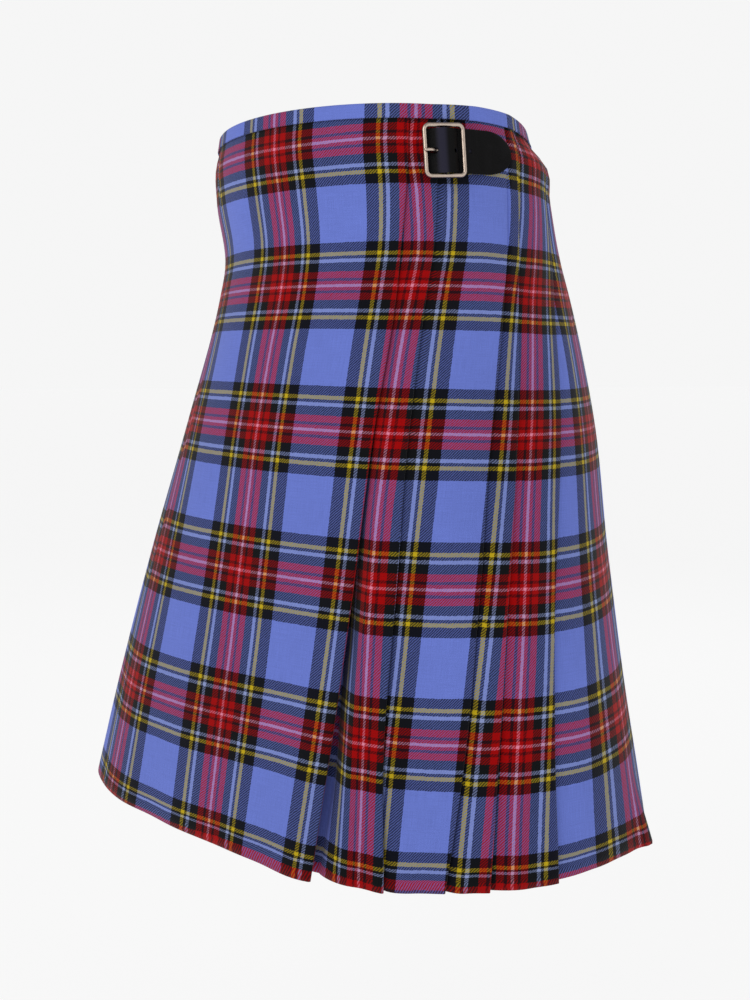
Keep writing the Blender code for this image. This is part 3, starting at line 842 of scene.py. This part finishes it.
def leather_strip(name, side, path, half_width, thick, holes, material, rows=14):
    """Strip laid along a path of (x, n), with a half width at each x, punched, its edges dressed."""
    path = finer(path, STRIP_STEP)
    middle = min(range(len(path)), key=lambda i: abs(path[i][0]))
    bm = bmesh.new()
    bmesh.ops.create_grid(bm, x_segments=len(path) - 1, y_segments=rows, size=1)
    chart = bm.loops.layers.uv.new("hide")
    spot = {}
    for vert in bm.verts:
        i = round((vert.co.x + 1) / 2 * (len(path) - 1))
        x, n = path[i]
        y = vert.co.y * half_width(x)
        spot[vert.index] = ((i - middle) * STRIP_STEP / 1000, y / 1000)
        vert.co = along_cloth(side, x, y, n)
    for face in bm.faces:
        for loop in face.loops:
            loop[chart].uv = spot[loop.vert.index]
    bmesh.ops.recalc_face_normals(bm, faces=bm.faces)
    made = finished(name, bm, material)
    walls = made.modifiers.new("thickness", "SOLIDIFY")
    walls.thickness, walls.offset = thick / 1000, 0
    dressed = made.modifiers.new("dressed edge", "BEVEL")
    dressed.width, dressed.segments = 0.0004, 3
    dressed.limit_method, dressed.angle_limit = "ANGLE", 0.9
    punches = [punch(name + "_punch", side, hole, material) for hole in holes]
    for tool in punches:
        cut = made.modifiers.new("punched", "BOOLEAN")
        cut.operation, cut.solver, cut.object = "DIFFERENCE", "EXACT", tool
    bpy.context.view_layer.update()
    shaped = made.evaluated_get(bpy.context.evaluated_depsgraph_get())
    shaped = bpy.data.meshes.new_from_object(shaped)
    made.modifiers.clear()
    made.data = shaped
    for tool in punches:
        bpy.data.objects.remove(tool)
    return made


def strap_half(x):
    """Half width of the strap: straight, then rounded off to its tip."""
    past = max(0.0, (x - TIP_FROM) / TIP_LONG)
    return STRAP_WIDTH / 2 * math.sqrt(max(1 - past**TIP_CURVE, 0.004))


def waxed_hide():
    """Black dye with scuffs, a painted sheen in a paler bluish band along the bend over the bar, and the
    grain.
    """
    tree, given, gives = group_of(
        "waxed hide",
        (("Place", "NodeSocketVector"), ("Hide", "NodeSocketVector")),
        (("Colour", "NodeSocketColor"), ("Roughness", "NodeSocketFloat"), ("Grain", "NodeSocketFloat")),
    )
    spot = given["Place"]
    grain = node(tree, "ShaderNodeTexVoronoi", {"Vector": spot, "Scale": 1500}, feature="SMOOTH_F1")
    pores = noise(tree, spot, 900, 4)
    scuffs = ranged(tree, noise(tree, spot, 90, 4), 0.45, 0.75, 0, 1)
    colour = blend(tree, scuffs, (0.0022, 0.0020, 0.0022, 1), (0.0045, 0.0042, 0.0048, 1))
    # Painted sheen: a paler bluish band along the bend over the bar stands in for soft light reflected
    # there.
    along = node(tree, "ShaderNodeSeparateXYZ", {"Vector": given["Hide"]}).outputs[0]
    far = maths(tree, "ABSOLUTE", maths(tree, "ADD", along, 0.0026))
    painted_sheen = ranged(tree, far, 0.0010, 0.0056, 1, 0, interpolation_type="SMOOTHSTEP")
    height = maths(tree, "ADD", grain.outputs["Distance"], maths(tree, "MULTIPLY", pores, 0.6))
    feed(tree, gives, {
        "Colour": blend(tree, painted_sheen, colour, (0.022, 0.021, 0.036, 1)),
        "Roughness": ranged(tree, pores, 0.3, 0.7, 0.27, 0.42),
        "Grain": height,
    })
    return tree


HIDE = waxed_hide()


def leather(name):
    """Dyed black hide with a waxed satin face."""
    made, tree, shader = blank(name)
    spot = node(tree, "ShaderNodeTexCoord").outputs["Object"]
    chart = node(tree, "ShaderNodeUVMap", uv_map="hide").outputs[0]
    colour, rough, grain = node(tree, "ShaderNodeGroup", node_tree=HIDE).outputs
    feed(tree, colour.node.inputs, {"Place": spot, "Hide": chart})
    feed(tree, shader, {
        "Base Color": colour,
        "Roughness": rough,
        "Normal": bumped(tree, grain, 0.25, 0.0002),
        "Specular IOR Level": 0.06,
    })
    return made


for side, word in SIDES.items():
    hide = leather(word + " leather")
    strap_path = STRAP_START[side] + BUCKLE_PATH
    strap = leather_strip(
        word + "_strap_leather", side, strap_path, strap_half, STRAP_THICK, HOLES, hide,
    )
    tab = leather_strip(
        word + "_tab_leather", side, TAB_PATH, lambda x: TAB_WIDTH / 2, TAB_THICK, TAB_SLOT, hide, rows=8,
    )
    for piece, solid in ((strap, word + "_strap"), (tab, word + "_buckle_tab")):
        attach(piece, "root")
        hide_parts(solid)

# ---- Buckles ----
# A rounded rectangle of cast wire with a thinner middle bar set back, and a loose prong round that bar
# whose tip rests on the near side. Plated a pale champagne and brushed to a satin.
FRAME_WIDTH, FRAME_HEIGHT, FRAME_WIRE = 31.0, 36.4, 3.0
FRAME_CORNER, FRAME_STAND, BAR_WIRE = 5.0, 6.0, 2.0
PRONG_WIRE, PRONG_PLAY = 2.4, 0.2
PRONG_LOOP = range(190, 451, 20)    # degrees round the middle bar
PRONG_REST = [
    # along the cloth and out from it, from the bar to the tip on the near side
    (-2.0, 5.98), (-4.5, 5.5), (-6.8, 5.7), (-8.4, 7.3), (-10.6, 8.5), (-12.8, 8.8), (-14.7, 8.8),
]
DOMES = {0.05: 0.5, 0.7: 0.35}      # share of the radius, and how many wires it is beyond the end


def ring_of(bm, across, sides):
    """Round section of wire standing across y, and its edges."""
    made = bmesh.ops.create_circle(bm, segments=sides, radius=across / 2)
    bmesh.ops.rotate(bm, verts=made["verts"], cent=(0, 0, 0), matrix=Matrix.Rotation(math.pi / 2, 3, "X"))
    return made["verts"]


def grown(bm, rim, move):
    """Extrudes a rim of edges and returns the new rim."""
    made = bmesh.ops.extrude_edge_only(bm, edges=rim)["geom"]
    bmesh.ops.translate(bm, verts=[v for v in made if isinstance(v, bmesh.types.BMVert)], vec=move)
    return [e for e in made if isinstance(e, bmesh.types.BMEdge)]


def wire_along(bm, path, wire, sides):
    """Closed round wire along points in the buckle's plane, with domed ends."""
    path = [Vector((x, y, n)) for x, y, n in path]
    steps = [(path[min(i + 1, len(path) - 1)] - path[max(i - 1, 0)]).normalized() for i in range(len(path))]
    rings = []
    domed = [(0.05, 0), (0.7, 0)] + [(1, i) for i in range(len(path))] + [(0.7, -1), (0.05, -1)]
    for share, i in domed:
        step = steps[i]
        back = DOMES.get(share, 0) * wire * (-1 if i == 0 else 1)
        made = bmesh.ops.create_circle(bm, segments=sides, radius=wire / 2 * share)["verts"]
        turned = Vector((0, 0, 1)).rotation_difference(step).to_matrix()
        bmesh.ops.rotate(bm, verts=made, cent=(0, 0, 0), matrix=turned)
        bmesh.ops.translate(bm, verts=made, vec=path[i] + step * back)
        rings.append([e for e in bm.edges if e.verts[0] in made and e.verts[1] in made])
    for one, two in zip(rings, rings[1:]):
        bmesh.ops.bridge_loops(bm, edges=one + two)
    for rim in (rings[0], rings[-1]):
        bmesh.ops.edgeloop_fill(bm, edges=rim)


def brushed_plate():
    """Pale plating with dull patches, and the lines of its brushing."""
    tree, given, gives = group_of(
        "brushed plate",
        (("Place", "NodeSocketVector"),),
        (("Colour", "NodeSocketColor"), ("Roughness", "NodeSocketFloat"), ("Brush", "NodeSocketFloat")),
    )
    drawn = node(tree, "ShaderNodeMapping", {"Vector": given["Place"], "Scale": (300, 2400, 300)})
    lines = noise(tree, drawn.outputs[0], 1, 3)
    dull = noise(tree, given["Place"], 160, 3)
    feed(tree, gives, {
        "Colour": blend(tree, dull, (0.66, 0.54, 0.45, 1), (0.50, 0.41, 0.34, 1)),
        "Roughness": ranged(tree, lines, 0.3, 0.7, 0.22, 0.38),
        "Brush": lines,
    })
    return tree


PLATE = brushed_plate()


def champagne(name):
    """Pale plated metal with a fine brushed satin, and painted shade that browns it where it turns away
    from the view.
    """
    made, tree, shader = blank(name)
    spot = node(tree, "ShaderNodeTexCoord").outputs["Object"]
    colour, rough, brush = node(tree, "ShaderNodeGroup", node_tree=PLATE).outputs
    feed(tree, colour.node.inputs, {"Place": spot})
    # Painted shade: the colour darkens to brown where the surface turns away from the view.
    turned = node(tree, "ShaderNodeLayerWeight", {"Blend": 0.6}).outputs["Facing"]
    feed(tree, shader, {
        "Base Color": blend(tree, turned, colour, (0.20, 0.145, 0.12, 1)),
        "Roughness": rough,
        "Normal": bumped(tree, brush, 0.15, 0.0001),
        "Metallic": 1,
    })
    return made


def buckle_frame(name, side, material):
    """Rounded rectangle of wire, and the thinner bar that crosses its middle closer to the cloth."""
    half_x, half_y = (FRAME_WIDTH - FRAME_WIRE) / 2, (FRAME_HEIGHT - FRAME_WIRE) / 2
    bend = FRAME_CORNER - FRAME_WIRE / 2
    bm = bmesh.new()
    ring = ring_of(bm, FRAME_WIRE, 20)
    bmesh.ops.translate(bm, verts=ring, vec=(half_x, -half_y + bend, 0))
    rim = list(bm.edges)
    for cx, cy, way in ((1, 1, (0, 1)), (-1, 1, (-1, 0)), (-1, -1, (0, -1)), (1, -1, (1, 0))):
        reach = 2 * (half_y if way[0] == 0 else half_x) - 2 * bend
        rim = grown(bm, rim, (way[0] * reach, way[1] * reach, 0))
        spun = bmesh.ops.spin(
            bm, geom=rim, cent=(cx * (half_x - bend), cy * (half_y - bend), 0), axis=(0, 0, 1),
            angle=math.pi / 2, steps=8,
        )["geom_last"]
        rim = [e for e in spun if isinstance(e, bmesh.types.BMEdge)]
    bmesh.ops.remove_doubles(bm, verts=bm.verts, dist=0.001)
    bmesh.ops.translate(bm, verts=bm.verts, vec=(0, 0, FRAME_STAND))
    set_back = [(half_y + 0.2, 0.15), (half_y - 1.6, 0.6), (half_y - 3.2, 1)]
    heights = [(-y, share) for y, share in set_back] + [(0, 1)] + set_back[::-1]
    bar = [(0, y, FRAME_STAND + (BAR_STAND - FRAME_STAND) * share) for y, share in heights]
    wire_along(bm, bar, BAR_WIRE, 14)
    bmesh.ops.transform(bm, matrix=buckle_plane(side), verts=bm.verts)
    bmesh.ops.recalc_face_normals(bm, faces=bm.faces)
    return finished(name, bm, material)


def buckle_prong(name, side, material):
    """Loose wire looped round the middle bar, its tip on the frame's near side."""
    reach = BAR_WIRE / 2 + PRONG_PLAY + PRONG_WIRE / 2
    path = round_bar(reach, PRONG_LOOP)
    bm = bmesh.new()
    wire_along(bm, [(x, 0, n) for x, n in finer(path + PRONG_REST, 1.2)], PRONG_WIRE, 14)
    bmesh.ops.transform(bm, matrix=buckle_plane(side), verts=bm.verts)
    bmesh.ops.recalc_face_normals(bm, faces=bm.faces)
    return finished(name, bm, material)


for side, word in SIDES.items():
    plated = champagne(word + " metal")
    buckle = buckle_frame(word + "_frame_metal", side, plated)
    prong = buckle_prong(word + "_prong_metal", side, plated)
    for piece, solid in ((buckle, "_buckle_frame"), (prong, "_buckle_prong")):
        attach(piece, "root")
        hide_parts(word + solid)

# ---- Studio ----
# A plain pale floor well below the kilt, as it is worn at that height, and broad soft light from the
# camera's left and above with a weaker one from its right.
FLOOR_DOWN, FLOOR_HALF = 0.86, 30
AIMED_AT = (0, 0, -0.25)
pale, tree, shade = blank("pale floor")
feed(tree, shade, {
    "Base Color": (0.12, 0.12, 0.12, 1),
    "Roughness": 0.9,
    "Specular IOR Level": 0.1,
    "Emission Color": (1, 1, 1, 1),
    "Emission Strength": 0.845,
})
bm = bmesh.new()
bmesh.ops.create_grid(bm, x_segments=1, y_segments=1, size=FLOOR_HALF)
bmesh.ops.translate(bm, verts=bm.verts, vec=(0, 0, -FLOOR_DOWN))
floor = finished("floor", bm, pale, smooth=False)

world = bpy.data.worlds.new("studio")
world.use_nodes = True
bpy.context.scene.world = world
air = world.node_tree
ray = node(air, "ShaderNodeLightPath").outputs["Is Camera Ray"]
glow = {"Strength": ranged(air, ray, 0, 1, 0.50, 0.92), "Color": (1, 1, 1, 1)}
feed(air, air.nodes["Background"].inputs, glow)
for name, spot, size, power, tint in (
    ("key", (1.5, -1.5, 0.9), 1.8, 20, (1.0, 0.98, 0.96)),
    ("fill", (1.3, 1.6, 0.5), 1.6, 6, (0.96, 0.98, 1.0)),
    ("back", (-1.8, 0.6, 1.0), 1.8, 12, (1, 1, 1)),
):
    lamp = bpy.data.lights.new(name, "AREA")
    lamp.size, lamp.energy, lamp.color = size, power, tint
    hung = bpy.data.objects.new(name, lamp)
    hung.location = spot
    hung.rotation_euler = (Vector(AIMED_AT) - Vector(spot)).to_track_quat("-Z", "Y").to_euler()
    bpy.context.scene.collection.objects.link(hung)
bpy.context.scene.view_settings.view_transform = "Standard"
bpy.context.scene.cycles.denoising_prefilter = "NONE"

# ---- Camera ----
# It stands level with the kilt's upper half at the wearer's left, a little towards the front.
LOOKS_DOWN, HEADING = 6.9, 80.76    # degrees
optics = bpy.data.cameras.new("camera")
optics.lens, optics.sensor_width = 40.86, 36
camera = bpy.data.objects.new("camera", optics)
camera.location = (0.9192, -0.1538, -0.1735)
camera.rotation_euler = (math.radians(90 - LOOKS_DOWN), 0, math.radians(HEADING))
bpy.context.scene.collection.objects.link(camera)
bpy.context.scene.camera = camera
